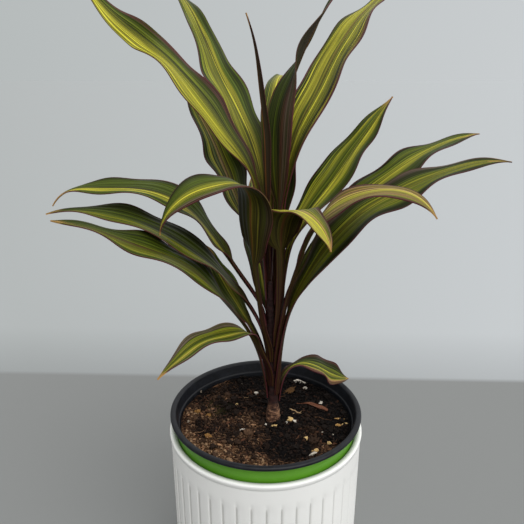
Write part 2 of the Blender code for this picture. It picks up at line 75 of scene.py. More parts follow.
POT_RIM = ((POT_COLLAR_RADIUS, POT_COLLAR_TOP), (75.2 * MM, 3.1 * MM), (POT_RADIUS, 2.4 * MM),
           (POT_RADIUS, 1.0 * MM), (75.3 * MM, 0.2 * MM), (74.0 * MM, 0.0), (72.3 * MM, 0.3 * MM),
           (71.5 * MM, 1.2 * MM), (69.9 * MM, 8.6 * MM), (68.9 * MM, 9.4 * MM))
DRAIN_HOLES = 6
DRAIN_RADIUS = 4.5 * MM
DRAIN_CIRCLE = 36 * MM
DRAIN_START = math.radians(27)
BAND_THICKNESS = 0.6 * MM
BAND_TOP = 3.6 * MM
BAND_FOOT = 19 * MM
RIM_TOP = PLANTER_FLOOR + GAP + POT_HEIGHT
SOIL_TOP = RIM_TOP - 12 * MM
SOIL_RADIUS = 68.2 * MM
SOIL_LUMPS = 1.6 * MM
SOIL_COARSE = 45
SOIL_FINE = 150
CANE_TOP = 118 * MM
CANE_FOOT_DEPTH = 25 * MM
CANE_OFFSET = 6 * MM
CANE_LEAN = 3 * MM
CANE_SOIL_RADIUS = 5.9 * MM
CANE_RADIUS = 4.3 * MM
CANE_TIP_RADIUS = 2.0 * MM
CANE_SWELL = 20 * MM
SPIRAL_TURN = 144
SPIRAL_START = 30
LOWEST_LEAF = 16 * MM
LEAF_SPACING = 4.2 * MM
LEAF_STEPS = 240
STALK_HALF = 3.3 * MM
STALK_SHARE = 0.56
STALK_CURL = math.radians(65)
STALK_FREE = (6 * MM, 18 * MM)
STALK_SETTLES = 0.3
STALK_THICKNESS = 1.7 * MM
CLASP_THICKNESS = 1.0 * MM
BLADE_THICKNESS = 0.8 * MM
MIDRIB_THICKNESS = 1.5 * MM
TIP_HALF = 0.5 * MM
BLADE_OPENS = 0.14

# Finer faces and forms than the part's source has
LEAF_ROWS = 110
LEAF_COLUMNS = 28
RIDGES = 3                  # shallow lengthwise folds in each half of a blade
RIDGE_DEPTH = 0.16 * MM
PLEAT_SIDES = 12            # faces round the planter for each flute
RIB_EDGE = 0.35             # width of a rib's edge, as a share of its groove's
POT_SIDES = 176             # of the grower pot and its band
DRAIN_SIDES = 24
SOIL_SIDES = 300
SOIL_RINGS = 100
CANE_SIDES = 32
CANE_RINGS = 120
CANE_SCAR = 0.21 * MM       # depth of the rings
CANE_ROUGH = 0.55 * MM
TWIG_SIDES = 5
TWIG_STEPS = 7
TWIG_SEED = 14

# Leaf tones, dark to bright. A leaf's stripes are these letters, read from the margin that
# points to the left of its way of growing to the other margin
TONES = {
    "k": "#17160a",     # dark line
    "d": "#25290c",     # deep green
    "g": "#3f4b10",     # leaf green
    "o": "#62681a",     # olive
    "y": "#8d8a28",     # dull yellow
    "b": "#b0aa33",     # bright yellow
    "w": "#c6ba5c",     # pale yellow
    "p": "#97744b",     # yellow flushed with pink
    "q": "#574a3c",     # grey-green flushed with purple
    "r": "#4c2e25",     # red-brown
}
MARGIN = "#55282c"
STALK = "#2a0f14"
STALK_LIGHT = "#4f3e17"
UNDERSIDE = "#221c0b"
DRY_TIP = "#a9804a"
RIB_UPPER = "#2b2c10"
RIB_UNDER = "#6b4423"


@dataclass
class Leaf:
    """A leaf's form, as in the part's source, and the stripes across its upper side."""
    name: str
    place: int
    heading: float
    length: float
    stalk: float
    width: float
    lean: tuple
    roll: tuple = (0, 0, 0, 0)
    fold: float = 20
    wave: float = 2.0
    waves: float = 2.5
    widest: float = 0.42
    ripple: float = 0.06
    stripes: str = "gogyogg"
    dry: float = 0.02       # dry share at the tip


LEAVES = [
    Leaf("leaf_low_right", 0, 30, 98, 24, 22, (5, 19, 78, 116, 126, 123, 116),
         roll=(0, 0, 25, 45, 40), fold=8, wave=2.0, waves=2.5, widest=0.6,
         stripes="rdddgogoygoypr"),
    Leaf("leaf_left_lower", 1, 206, 232, 68, 32, (5, 17, 35, 39, 61, 62, 76),
         roll=(0, -10, -22, -15), fold=8, wave=2.2, waves=3.0, ripple=0.1,
         stripes="ggoyoogrogdggdgd"),
    Leaf("leaf_right_front", 2, 2, 274, 72, 34, (5, 7, 26, 39, 61, 69, 95),
         roll=(0, 15, 22, 15), fold=8, wave=2.4, waves=3.4, ripple=0.13,
         stripes="qdddgoykyogyogdd"),
    Leaf("leaf_back_low", 3, 100, 190, 60, 34, (5, 10, 20, 30, 42, 56, 72),
         stripes="dggoygggoggd"),
    Leaf("leaf_low_left", 4, 222, 142, 44, 20, (9, 27, 27, 74, 87, 114, 122),
         roll=(0, 0, -12, -10), fold=8, wave=1.5, stripes="qgoypyoggoygodqq", dry=0.03),
    Leaf("leaf_right_middle", 5, 22, 278, 90, 32, (5, 8, 37, 46, 58, 69, 86),
         roll=(0, 10, 15, 15), fold=8, wave=2.4, waves=3.2, ripple=0.12,
         stripes="dggoggoybyogggdd"),
    Leaf("leaf_left_short", 6, 152, 126, 44, 19, (5, 21, 35, 36, 34, 42, 56),
         roll=(0, -10, -20, -20), fold=10, stripes="goggoyygogg", dry=0.13),
    Leaf("leaf_right_arched", 7, 334, 218, 88, 30, (5, 9, 16, 22, 54, 85, 142),
         roll=(0, 10, 18, 10), fold=8, stripes="qpoppwbyypopgpoor"),
    Leaf("leaf_right_shaded", 8, 68, 211, 100, 24, (9, 12, 14, 16, 17, 29, 59),
         stripes="ddgdodgdd"),
    Leaf("leaf_right_back", 10, 38, 235, 88, 31, (5, 6, 17, 48, 45, 47, 50),
         roll=(0, 0, 10, 10), fold=12, wave=2.2, waves=2.6, ripple=0.08,
         stripes="dgoyyoggogybbyoggd"),
    Leaf("leaf_left_middle", 11, 192, 206, 42, 28, (9, 30, 40, 50, 63, 80, 100),
         roll=(0, -10, -22, -15), fold=8, wave=2.2, waves=3.0, ripple=0.09,
         stripes="ogyogddggdgddd"),
    Leaf("leaf_front_right", 12, 301, 168, 80, 34, (7, 9, 6, 1, -2, -2, 26, 76, 98, 122, 158),
         roll=(0, 0, -5, -12, -16, -15, -10, -8, -5, 0, 0), fold=5, widest=0.3,
         stripes="rqogybpybwybwy"),
    Leaf("leaf_left_back", 13, 135, 213, 90, 33, (6, 11, 32, 31, 31, 41, 43),
         fold=14, wave=2.4, waves=3.0, ripple=0.09, stripes="dgoydgopgyoggdd"),
    Leaf("leaf_front_left", 9, 200, 216, 86, 35, (9, 22, 9, 8, 3, 5, 4, 84, 104, 134, 170),
         roll=(0, 0, 5, 12, 14, 16, 25, -5, -32, -28, -15), fold=8, widest=0.32,
         stripes="rqgoybbyoggggd"),
    Leaf("leaf_tall_right", 15, 50, 327, 100, 33, (3, 4, 4, 17, 43, 40, 51, 60, 43),
         fold=14, wave=2.4, waves=3.4, ripple=0.08, stripes="doybyboyryoyboygkbr"),
    Leaf("leaf_left_upper", 16, 188, 208, 58, 29, (10, 32, 32, 33, 42, 70, 89, 92, 147),
         roll=(0, -10, -22, -15), fold=8, wave=2.4, waves=3.0, widest=0.34, ripple=0.11,
         stripes="ggoybbykgggggggd", dry=0.05),
    Leaf("leaf_tall_back_left", 18, 118, 346, 96, 30, (5, 9, 15, 41, 52, 47, 47, 60, 43),
         fold=14, wave=2.6, waves=3.4, widest=0.3, ripple=0.1, stripes="gooyoyoykbygggdg"),
    Leaf("leaf_young_right", 20, 35, 244, 76, 25, (4, 4, 2, 0, 2, 22, 29, 38, 46),
         roll=(0, 0, 5, 15, 20, -5, -40, -36, -15), fold=16, widest=0.36,
         stripes="dgdggkdrrqqdqr"),
    Leaf("leaf_tall_left", 21, 155, 295, 90, 27, (3, 4, 9, 38, 40, 48, 57, 49, 34),
         roll=(0, 0, -5, -20, -32, -10, -42, -45, -40), fold=14, wave=2.6, waves=3.4,
         ripple=0.1, stripes="yybbybbyoyokgoggdr"),
    Leaf("leaf_small_back", 23, 80, 210, 80, 17, (5, 6, 6, 8, 14, 34, 64, 98, 152),
         fold=16, stripes="goybbyog"),
]
SPEAR = Leaf("leaf_spear", 24, 190, 183, 50, 8, (2, 3, 3, 2, 7, 7, 20), fold=60, wave=0,
             stripes="rrqrdrr")


# Shapes shared with the part's source

def even_value(values, t):
    """Read a value at t, from 0 to 1, on a smooth curve through evenly spaced values."""
    last = len(values) - 1
    place = min(max(t, 0.0), 1.0) * last
    i = min(int(place), last - 1)
    f = place - i
    p0 = values[max(i - 1, 0)]
    p1 = values[i]
    p2 = values[i + 1]
    p3 = values[min(i + 2, last)]
    bend = 2 * p1 + (p2 - p0) * f + (2 * p0 - 5 * p1 + 4 * p2 - p3) * f * f
    return 0.5 * (bend + (3 * p1 - p0 - 3 * p2 + p3) * f ** 3)


def ease(low, high, x):
    """Go smoothly from 0 at low to 1 at high."""
    f = min(max((x - low) / (high - low), 0.0), 1.0)
    return f * f * (3 - 2 * f)


def cane_centre(up):
    f = ease(0, CANE_TOP, up)
    return Vector((CANE_OFFSET - CANE_LEAN * f, 0, SOIL_TOP + up))


def cane_radius(up):
    f = min(max(up / CANE_TOP, 0.0), 1.0)
    swell = (CANE_SOIL_RADIUS - CANE_RADIUS) * (1 - ease(0, CANE_SWELL, up))
    return CANE_RADIUS + (CANE_TIP_RADIUS - CANE_RADIUS) * f + swell


def soil_height(x, y):
    coarse = noise.noise(Vector((x * SOIL_COARSE, y * SOIL_COARSE, 3.1)))
    fine = noise.noise(Vector((x * SOIL_FINE, y * SOIL_FINE, 7.7)))
    return SOIL_TOP + SOIL_LUMPS * (0.6 * coarse + 0.5 * fine)


def leaf_up(leaf):
    if leaf is SPEAR:
        return CANE_TOP + 2 * MM
    return LOWEST_LEAF + LEAF_SPACING * leaf.place


def base_radius(leaf):
    if leaf is SPEAR:
        return 0.0
    return cane_radius(leaf_up(leaf)) + GAP + CLASP_THICKNESS * 0.6


def leaf_path(leaf):
    """Add up the leaf's midrib in small steps: place, forward, sideways and upper side."""
    around = SPIRAL_START + SPIRAL_TURN * leaf.place
    turn = (leaf.heading - around + 180) % 360 - 180
    out = Vector((math.cos(math.radians(around)), math.sin(math.radians(around)), 0))
    place = cane_centre(leaf_up(leaf)) + out * base_radius(leaf)
    step = leaf.length * MM / LEAF_STEPS
    path = []
    for n in range(LEAF_STEPS + 1):
        t = n / LEAF_STEPS
        heading = math.radians(around + turn * ease(0, STALK_SETTLES, t))
        lean = math.radians(even_value(leaf.lean, t))
        roll = math.radians(even_value(leaf.roll, t))
        flat = Vector((math.cos(heading), math.sin(heading), 0))
        forward = flat * math.sin(lean) + Vector((0, 0, 1)) * math.cos(lean)
        side = Vector((-math.sin(heading), math.cos(heading), 0))
        upper = forward.cross(side)
        turned_side = side * math.cos(roll) + upper * math.sin(roll)
        turned_upper = upper * math.cos(roll) - side * math.sin(roll)
        path.append((place.copy(), forward, turned_side, turned_upper))
        place = place + forward * step
    return path


def path_at(path, t):
    place = min(max(t, 0.0), 1.0) * LEAF_STEPS
    i = min(int(place), LEAF_STEPS - 1)
    f = place - i
    return [a.lerp(b, f) for a, b in zip(path[i], path[i + 1])]


def half_width(leaf, path, t):
    place = path_at(path, t)[0]
    centre = cane_centre(place.z - SOIL_TOP)
    stalk = min(STALK_HALF, STALK_SHARE * math.hypot(place.x - centre.x, place.y - centre.y))
    v = (t * leaf.length - leaf.stalk) / (leaf.length - leaf.stalk)
    if v <= 0:
        return stalk
    swell = math.log(0.5) / math.log(leaf.widest)
    blade = leaf.width * MM / 2 * math.sin(math.pi * min(v, 1.0) ** swell) ** 0.95
    return max(math.hypot(stalk * (1 - v) ** 2, blade), TIP_HALF)


def leaf_point(leaf, path, t, u):
    """Point of the leaf's middle surface: t runs along it, u from -1 to 1 across it."""
    place, _, side, upper = path_at(path, t)
    centre = cane_centre(place.z - SOIL_TOP)
    room = math.hypot(place.x - centre.x, place.y - centre.y)
    v = max((t * leaf.length - leaf.stalk) / (leaf.length - leaf.stalk), 0.0)
    blade = ease(0, BLADE_OPENS, v)
    rise = math.radians(leaf.fold * (1.3 - 0.6 * v)) * blade
    half = half_width(leaf, path, t)
    clasp = half / max(room, 2 * MM)
    curl = (clasp + (STALK_CURL - clasp) * ease(*STALK_FREE, room)) * (1 - blade)
    phase = leaf.place * 2.4 + (1.9 if u > 0 else 0.0)
    swing = math.sin(math.tau * leaf.waves * v + phase) * math.sin(math.pi * v) ** 0.6
    swell = math.sin(math.tau * leaf.waves * 1.3 * v + 2 * phase) * math.sin(math.pi * v)
    half *= 1 + leaf.ripple * swell
    reach = abs(u)
    parts = 6
    across = 0.0
    lift = 0.0
    for k in range(parts):
        angle = rise + curl * reach * (k + 0.5) / parts
        across += math.cos(angle) * half * reach / parts
        lift += math.sin(angle) * half * reach / parts
    lift += leaf.wave * MM * reach ** 1.6 * swing
    lift += RIDGE_DEPTH * math.sin(math.tau * RIDGES * reach) * blade * min(1.0, 4 * (1 - v))
    return place + side * math.copysign(across, u) + upper * lift


def leaf_thickness(leaf, t, u):
    v = (t * leaf.length - leaf.stalk) / (leaf.length - leaf.stalk)
    grown = ease(0, 0.25, t * leaf.length / max(leaf.stalk, 1.0))
    middle = CLASP_THICKNESS + (STALK_THICKNESS - CLASP_THICKNESS) * grown
    edge = CLASP_THICKNESS * 0.8
    if v > 0:
        rib = MIDRIB_THICKNESS + (BLADE_THICKNESS - MIDRIB_THICKNESS) * v
        blend = ease(0, 0.15, v)
        middle = middle + (rib - middle) * blend
        edge = edge + (BLADE_THICKNESS * 0.85 - edge) * blend
    return middle + (edge - middle) * min(abs(u) * 1.6, 1.0)


# Materials

def linear(code):
    """An sRGB hex colour as linear red, green and blue, with an alpha of 1."""
    values = [int(code[i:i + 2], 16) / 255 for i in (1, 3, 5)]
    return (*[v / 12.92 if v <= 0.04045 else ((v + 0.055) / 1.055) ** 2.4 for v in values], 1)


def add(tree, kind, inputs=None, stops=None, out=0, **settings):
    """Add a node with its settings, inputs (values or links) and ramp stops: gives one output."""
    made = tree.nodes.new(kind)
    for name, value in settings.items():
        setattr(made, name, value)
    for name, value in (inputs or {}).items():
        if isinstance(value, bpy.types.NodeSocket):
            tree.links.new(value, made.inputs[name])
        else:
            made.inputs[name].default_value = value
    if stops:
        elements = made.color_ramp.elements
        while len(elements) > 1:
            elements.remove(elements[-1])
        elements[0].position = stops[0][0]
        elements[0].color = stops[0][1]
        for place, colour in stops[1:]:
            elements.new(place).color = colour
    return made.outputs[out]


# Settings of a node that mixes two colours, which are its inputs 6 and 7
TWO_COLOURS = {"data_type": "RGBA", "out": 2}


def new_material(name, roughness, specular=0.5):
    """A material with its shader, whose plain values are set on its own sockets."""
    material = bpy.data.materials.new(name)
    material.use_nodes = True
    shader = material.node_tree.nodes["Principled BSDF"]
    shader.inputs["Roughness"].default_value = roughness
    shader.inputs["Specular IOR Level"].default_value = specular
    return material, material.node_tree, shader


def grey(value):
    return (value, value, value, 1)


def set_surface(tree, shader, colour, height, strength, depth):
    """Give a material its colour, and a relief drawn by one of its patterns."""
    tree.links.new(colour, shader.inputs["Base Color"])
    bump = add(tree, "ShaderNodeBump", {
        "Height": height, "Strength": strength, "Distance": depth})
    tree.links.new(bump, shader.inputs["Normal"])


def leaf_lines(tree, uv, leaf, across, along, seed):
    """Noise drawn out along the leaf, with so many lines to the millimetre across."""
    spot = add(tree, "ShaderNodeMapping", {
        "Vector": uv, "Location": (leaf.place * seed, leaf.place * 1.3, 0),
        "Scale": (leaf.width * across, leaf.length * along, 1)})
    return add(tree, "ShaderNodeTexNoise", {
        "Vector": spot, "Scale": 1.0, "Detail": 2.5, "Roughness": 0.6})


def leaf_finish(leaf, under):
    """Waxy leaf skin with lengthwise stripes: the veins run along it as fine, soft ridges."""
    side = "under" if under else "upper"
    material, tree, shader = new_material(f"{leaf.name}_{side}", 0.5 if under else 0.42, 0.13)
    uv = add(tree, "ShaderNodeUVMap", uv_map="leaf")
    across, along, _ = add(tree, "ShaderNodeSeparateXYZ", {0: uv}).node.outputs
    # Streaks of 3 to 6 mm across and some 70 mm along
    streaks = leaf_lines(tree, uv, leaf, 0.22, 0.014, 3.7)
    # Veins about 1 mm apart
    veins = leaf_lines(tree, uv, leaf, 0.95, 0.006, 1.9)
    wander = add(tree, "ShaderNodeMath", {0: streaks, 1: 0.5}, operation="SUBTRACT")
    shifted = add(tree, "ShaderNodeMath", {0: wander, 1: 0.1, 2: across},
                  operation="MULTIPLY_ADD")
    # Each stripe's edge breaks up into single veins
    split = add(tree, "ShaderNodeMapRange", {0: veins, 1: 0.45, 2: 0.55, 3: -0.045, 4: 0.045})
    shifted = add(tree, "ShaderNodeMath", {0: split, 1: shifted}, operation="ADD")
    count = len(leaf.stripes)
    stops = [(0.03 + 0.94 * (i + 0.5) / count, linear(TONES[letter]))
             for i, letter in enumerate(leaf.stripes)]
    colour = add(tree, "ShaderNodeValToRGB", {0: shifted}, stops)
    # Here and there the yellow gives way to green along the blade
    patch = add(tree, "ShaderNodeValToRGB", {0: streaks}, [(0.3, grey(0.25)), (0.44, grey(1.0))])
    colour = add(tree, "ShaderNodeMix", {0: patch, 6: linear(TONES["g"]), 7: colour},
                 **TWO_COLOURS)
    fine = add(tree, "ShaderNodeValToRGB", {0: veins},
               [(0.41, grey(0.5)), (0.47, grey(0.86)), (0.52, grey(1.04)), (0.57, grey(1.42))])
    colour = add(tree, "ShaderNodeMix", {0: 1.0, 6: colour, 7: fine}, **TWO_COLOURS,
                 blend_type="MULTIPLY")
    # The finest veins, about 0.4 mm apart
    hairs = leaf_lines(tree, uv, leaf, 2.3, 0.005, 2.7)
    hair = add(tree, "ShaderNodeValToRGB", {0: hairs},
               [(0.42, grey(0.62)), (0.5, grey(1.0)), (0.58, grey(1.3))])
    colour = add(tree, "ShaderNodeMix", {0: 1.0, 6: colour, 7: hair}, **TWO_COLOURS,
                 blend_type="MULTIPLY")
    if under:
        colour = add(tree, "ShaderNodeMix", {0: 0.8, 6: colour, 7: linear(UNDERSIDE)},
                     **TWO_COLOURS)
    # Distance from the midrib, 0 to 0.5
    centred = add(tree, "ShaderNodeMath", {0: across, 1: 0.5}, operation="SUBTRACT")
    reach = add(tree, "ShaderNodeMath", {0: centred}, operation="ABSOLUTE")
    rib_width = 0.04 if under else 0.018
    rib = add(tree, "ShaderNodeMapRange", {
        0: reach, 1: rib_width * 0.5, 2: rib_width, 3: 0.8 if under else 0.75, 4: 0.0})
    rib_colour = linear(RIB_UNDER if under else RIB_UPPER)
    colour = add(tree, "ShaderNodeMix", {0: rib, 6: colour, 7: rib_colour}, **TWO_COLOURS)
    edge_reach = add(tree, "ShaderNodeMath", {0: wander, 1: 0.09, 2: reach},
                     operation="MULTIPLY_ADD")
    edge = add(tree, "ShaderNodeMapRange", {0: edge_reach, 1: 0.476, 2: 0.494, 3: 0.0, 4: 0.9})
    # The stalk is red-purple with olive streaks, which run out into the blade
    share = leaf.stalk / leaf.length
    shade = add(tree, "ShaderNodeMath", {0: wander, 1: 0.3, 2: along}, operation="MULTIPLY_ADD")
    grown = add(tree, "ShaderNodeMapRange", {0: shade, 1: share * 0.55, 2: share + 0.16})
    olive = add(tree, "ShaderNodeMapRange", {0: veins, 1: 0.51, 2: 0.58})
    stalk = add(tree, "ShaderNodeMix", {0: olive, 6: linear(STALK), 7: linear(STALK_LIGHT)},
                **TWO_COLOURS)
    colour = add(tree, "ShaderNodeMix", {0: grown, 6: stalk, 7: colour}, **TWO_COLOURS)
    colour = add(tree, "ShaderNodeMix", {0: edge, 6: colour, 7: linear(MARGIN)}, **TWO_COLOURS)
    tip = add(tree, "ShaderNodeMapRange", {0: shade, 1: 1 - leaf.dry * 1.4, 2: 1 - leaf.dry * 0.7})
    colour = add(tree, "ShaderNodeMix", {0: tip, 6: colour, 7: linear(DRY_TIP)}, **TWO_COLOURS)
    set_surface(tree, shader, colour, veins, 0.4, 0.4 * MM)
    return material


# Modelling

def select_only(obj):
    bpy.ops.object.select_all(action="DESELECT")
    obj.select_set(True)
    bpy.context.view_layer.objects.active = obj


def apply_modifiers(obj):
    select_only(obj)
    for modifier in list(obj.modifiers):
        bpy.ops.object.modifier_apply(modifier=modifier.name)


def finish_piece(obj, name, material, slot, *nodes, smooth=50):
    """Name a piece, give it its finish, and tie it to the frame."""
    obj.name = name
    obj.data.name = name
    if material:
        obj.data.materials.clear()
        obj.data.materials.append(material)
    select_only(obj)
    bpy.ops.object.shade_smooth_by_angle(angle=math.radians(smooth))
    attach(obj, "root")
    if nodes:
        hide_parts(*nodes)
    return obj


def make_leaf(leaf):
    """A fine grid laid along the leaf's path, given its thickness by Solidify."""
    path = leaf_path(leaf)
    bpy.ops.mesh.primitive_grid_add(x_subdivisions=LEAF_COLUMNS, y_subdivisions=LEAF_ROWS, size=2)
    obj = bpy.context.object
    mesh = obj.data
    mesh.uv_layers[0].name = "leaf"
    group = obj.vertex_groups.new(name="thickness")
    for vert in mesh.vertices:
        u = -vert.co.x
        t = (vert.co.y + 1) / 2
        vert.co = leaf_point(leaf, path, t, u)
        group.add([vert.index], leaf_thickness(leaf, t, u) / STALK_THICKNESS, "REPLACE")
    mesh.materials.append(leaf_finish(leaf, False))
    mesh.materials.append(leaf_finish(leaf, True))
    solid = obj.modifiers.new("thickness", "SOLIDIFY")
    solid.thickness = STALK_THICKNESS
    solid.offset = 0
    solid.vertex_group = "thickness"
    solid.material_offset = 1
    apply_modifiers(obj)
    obj.vertex_groups.clear()
    slot = "young_leaf" if leaf is SPEAR else "leaf"
    return finish_piece(obj, f"{leaf.name}_striped", None, slot, leaf.name, smooth=60)


def turned(profile, sides, place=None):
    """Shape a cylinder, ring by ring, to a profile of radius and height that ends on the axis."""
    bpy.ops.mesh.primitive_cylinder_add(vertices=sides, radius=1, depth=2, end_fill_type="TRIFAN")
    obj = bpy.context.object
    bm = bmesh.new()
    bm.from_mesh(obj.data)
    upright = [edge for edge in bm.edges if abs(edge.verts[0].co.z - edge.verts[1].co.z) > 1]
    bmesh.ops.subdivide_edges(bm, edges=upright, cuts=len(profile) - 2, use_grid_fill=True)
    last = len(profile) - 1
    for vert in bm.verts:
        ring = round((vert.co.z + 1) / 2 * last)
        reach = round(math.hypot(vert.co.x, vert.co.y))
        angle = math.atan2(vert.co.y, vert.co.x)
        if place:
            vert.co = place(ring, reach, angle)
        else:
            radius, height = profile[ring]
            vert.co = (reach * radius * math.cos(angle), reach * radius * math.sin(angle), height)
    bm.to_mesh(obj.data)
    bm.free()
    return obj


def add_attribute(obj, name, value_at):
    """Keep a value on each point of a piece, for its material to read."""
    attribute = obj.data.attributes.new(name, "FLOAT", "POINT")
    attribute.data.foreach_set("value", [value_at(vert.co) for vert in obj.data.vertices])


def matte_white():
    """Moulded matte white plastic: an even, soft white, with painted shade in its grooves."""
    material, tree, shader = new_material("matte_white_plastic", 0.5, 0.35)
    place = add(tree, "ShaderNodeTexCoord", out="Object")
    cloud = add(tree, "ShaderNodeTexNoise", {"Vector": place, "Scale": 22.0, "Detail": 3.0})
    tint = add(tree, "ShaderNodeValToRGB", {0: cloud},
               [(0.3, linear("#f6f6f3")), (0.7, linear("#fbfbf8"))])
    # Painted shade: deep in each groove the white is mixed towards grey, darker the deeper it goes
    groove = add(tree, "ShaderNodeAttribute", attribute_name="groove", out="Fac")
    dust = add(tree, "ShaderNodeMath", {0: groove, 1: 0.65}, operation="MULTIPLY")
    colour = add(tree, "ShaderNodeMix", {0: dust, 6: tint, 7: linear("#9a9a96")}, **TWO_COLOURS)
    grain = add(tree, "ShaderNodeTexNoise", {"Vector": place, "Scale": 900.0, "Detail": 2.0})
    set_surface(tree, shader, colour, grain, 0.12, 0.1 * MM)
    return material


def planter_wall(height):
    return PLANTER_WALL_RADIUS - (PLANTER_HEIGHT - height) * math.tan(PLANTER_TAPER)


def groove_depth(angle):
    """Share of the pleats' depth: a crisp groove beside each rib, and a soft flank after it."""
    pitch = math.tau / PLEATS
    groove = PLEAT_GROOVE / PLANTER_WALL_RADIUS
    turn = angle % pitch
    lip = RIB_EDGE * groove
    if turn > pitch - lip:
        return (turn - (pitch - lip)) / lip
    if turn < groove:
        return 1.0 - (1 - GROOVE_FLANK) * turn / groove
    return GROOVE_FLANK * (1 - ease(groove, pitch * 0.8, turn))


def make_planter():
    """Planter, turned level by level: radius, height and share of the pleats' depth."""
    flute_top = PLANTER_HEIGHT - PLEAT_TOP
    lip_foot = PLANTER_HEIGHT - LIP_HEIGHT
    levels = [(planter_wall(0) - PLANTER_EDGE, 0, 0.0),
              (planter_wall(0) - 0.4 * PLANTER_EDGE, 0.4 * MM, 0.0),
              (planter_wall(PLANTER_EDGE), PLANTER_EDGE, 0.0)]
    fades = 8
    for k in range(fades + 1):
        f = k / fades
        height = PLEAT_FOOT - PLEAT_FADE + PLEAT_FADE * f
        levels.append((planter_wall(height), height, ease(0, 1, f)))
    plain = 6
    for k in range(1, plain):
        height = PLEAT_FOOT + (flute_top - PLEAT_FADE - PLEAT_FOOT) * k / plain
        levels.append((planter_wall(height), height, 1.0))
    for k in range(fades + 1):
        f = k / fades
        height = flute_top - PLEAT_FADE + 2 * PLEAT_FADE * f
        levels.append((planter_wall(height), height, 1 - ease(0, 1, f)))
    levels.append((planter_wall(lip_foot), lip_foot, 0.0))
    levels.append((planter_wall(lip_foot) + 0.3 * MM, lip_foot + 0.3 * MM, 0.0))
    arc = 6
    for k in range(arc + 1):
        angle = math.pi / 2 * k / arc
        levels.append((PLANTER_LIP_RADIUS - LIP_EDGE * (1 - math.cos(angle)),
                       PLANTER_HEIGHT - LIP_EDGE * (1 - math.sin(angle)), 0.0))
    slope, drop = LIP_SLOPE
    for k in range(arc + 1):
        angle = math.pi / 2 * k / arc
        levels.append((PLANTER_MOUTH_RADIUS + slope * (1 - math.sin(angle)),
                       PLANTER_HEIGHT - drop * (1 - math.cos(angle)), 0.0))
    levels += [(PLANTER_MOUTH_RADIUS - 0.5 * MM, PLANTER_HEIGHT / 2, 0.0),
               (PLANTER_MOUTH_RADIUS - 1 * MM, PLANTER_FLOOR + 3 * MM, 0.0),
               (PLANTER_MOUTH_RADIUS - 4 * MM, PLANTER_FLOOR, 0.0)]

    def place(ring, reach, angle):
        radius, height, pleated = levels[ring]
        r = reach * (radius - PLEAT_DEPTH * pleated * groove_depth(angle))
        return (r * math.cos(angle), r * math.sin(angle), height)

    def groove(spot):
        """Painted shade lies where the groove is more than half its depth."""
        r = math.hypot(spot.x, spot.y)
        sunk = (planter_wall(spot.z) - r) / PLEAT_DEPTH
        return min(max(2 * sunk - 1, 0.0), 1.0) if r > PLANTER_MOUTH_RADIUS + 0.5 * MM else 0.0

    obj = turned(levels, PLEATS * PLEAT_SIDES, place)
    add_attribute(obj, "groove", groove)
    return finish_piece(obj, "planter_fluted", matte_white(), "planter", "planter", smooth=40)


def collar_radius(depth):
    share = (depth - POT_COLLAR_TOP) / (POT_COLLAR_FOOT - POT_WALL - POT_COLLAR_TOP)
    return POT_COLLAR_RADIUS - POT_COLLAR_TAPER * share


def pot_outside(depth):
    top = collar_radius(POT_COLLAR_FOOT - POT_WALL) - POT_STEP
    taper = (top - POT_BASE_RADIUS) / (POT_HEIGHT - POT_COLLAR_FOOT)
    return POT_BASE_RADIUS + (POT_HEIGHT - depth) * taper


def pot_inside(depth):
    return pot_outside(depth) - POT_WALL


def make_grower_pot():
    """Thin moulded pot: its edges are rounded a little, and its floor is drilled."""
    base = RIM_TOP - POT_HEIGHT
    profile = [(POT_BASE_RADIUS - 2 * MM, base), (POT_BASE_RADIUS, base + POT_WALL),
               (pot_outside(POT_COLLAR_FOOT), RIM_TOP - POT_COLLAR_FOOT),
               (collar_radius(POT_COLLAR_FOOT - POT_WALL), RIM_TOP - POT_COLLAR_FOOT + POT_WALL)]
    profile += [(radius, RIM_TOP - depth) for radius, depth in POT_RIM]
    profile += [(pot_inside(POT_COLLAR_FOOT), RIM_TOP - POT_COLLAR_FOOT),
                (pot_inside(POT_HEIGHT - 2 * POT_WALL), base + 2 * POT_WALL),
                (pot_inside(POT_HEIGHT) - POT_WALL, base + POT_WALL)]
    obj = turned(profile, POT_SIDES)
    edge = obj.modifiers.new("edges", "BEVEL")
    edge.width = 0.25 * MM
    edge.segments = 2
    edge.limit_method = "ANGLE"
    edge.angle_limit = math.radians(15)
    apply_modifiers(obj)
    for i in range(DRAIN_HOLES):
        angle = DRAIN_START + math.tau * i / DRAIN_HOLES
        bpy.ops.mesh.primitive_cylinder_add(
            vertices=DRAIN_SIDES, radius=DRAIN_RADIUS, depth=8 * POT_WALL,
            location=(DRAIN_CIRCLE * math.cos(angle), DRAIN_CIRCLE * math.sin(angle), base))
        cutter = bpy.context.object
        hole = obj.modifiers.new("drain", "BOOLEAN")
        hole.operation = "DIFFERENCE"
        hole.solver = "EXACT"
        hole.object = cutter
        apply_modifiers(obj)
        bpy.data.objects.remove(cutter, do_unlink=True)
    # Moulded plastic, near black: a dull sheen, uneven where dust and water have dried on it
    black, tree, shader = new_material("black_polypropylene", 0.42, 0.28)
    place = add(tree, "ShaderNodeTexCoord", out="Object")
    dust = add(tree, "ShaderNodeTexNoise", {
        "Vector": place, "Scale": 160.0, "Detail": 5.0, "Roughness": 0.7})
    tint = add(tree, "ShaderNodeValToRGB", {0: dust},
               [(0.45, linear("#0e1116")), (0.78, linear("#20232a"))])
    tree.links.new(tint, shader.inputs["Base Color"])
    dull = add(tree, "ShaderNodeMapRange", {0: dust, 1: 0.0, 2: 1.0, 3: 0.34, 4: 0.56})
    tree.links.new(dull, shader.inputs["Roughness"])
    return finish_piece(obj, "pot_moulded", black, "grower_pot", "grower_pot", smooth=30)


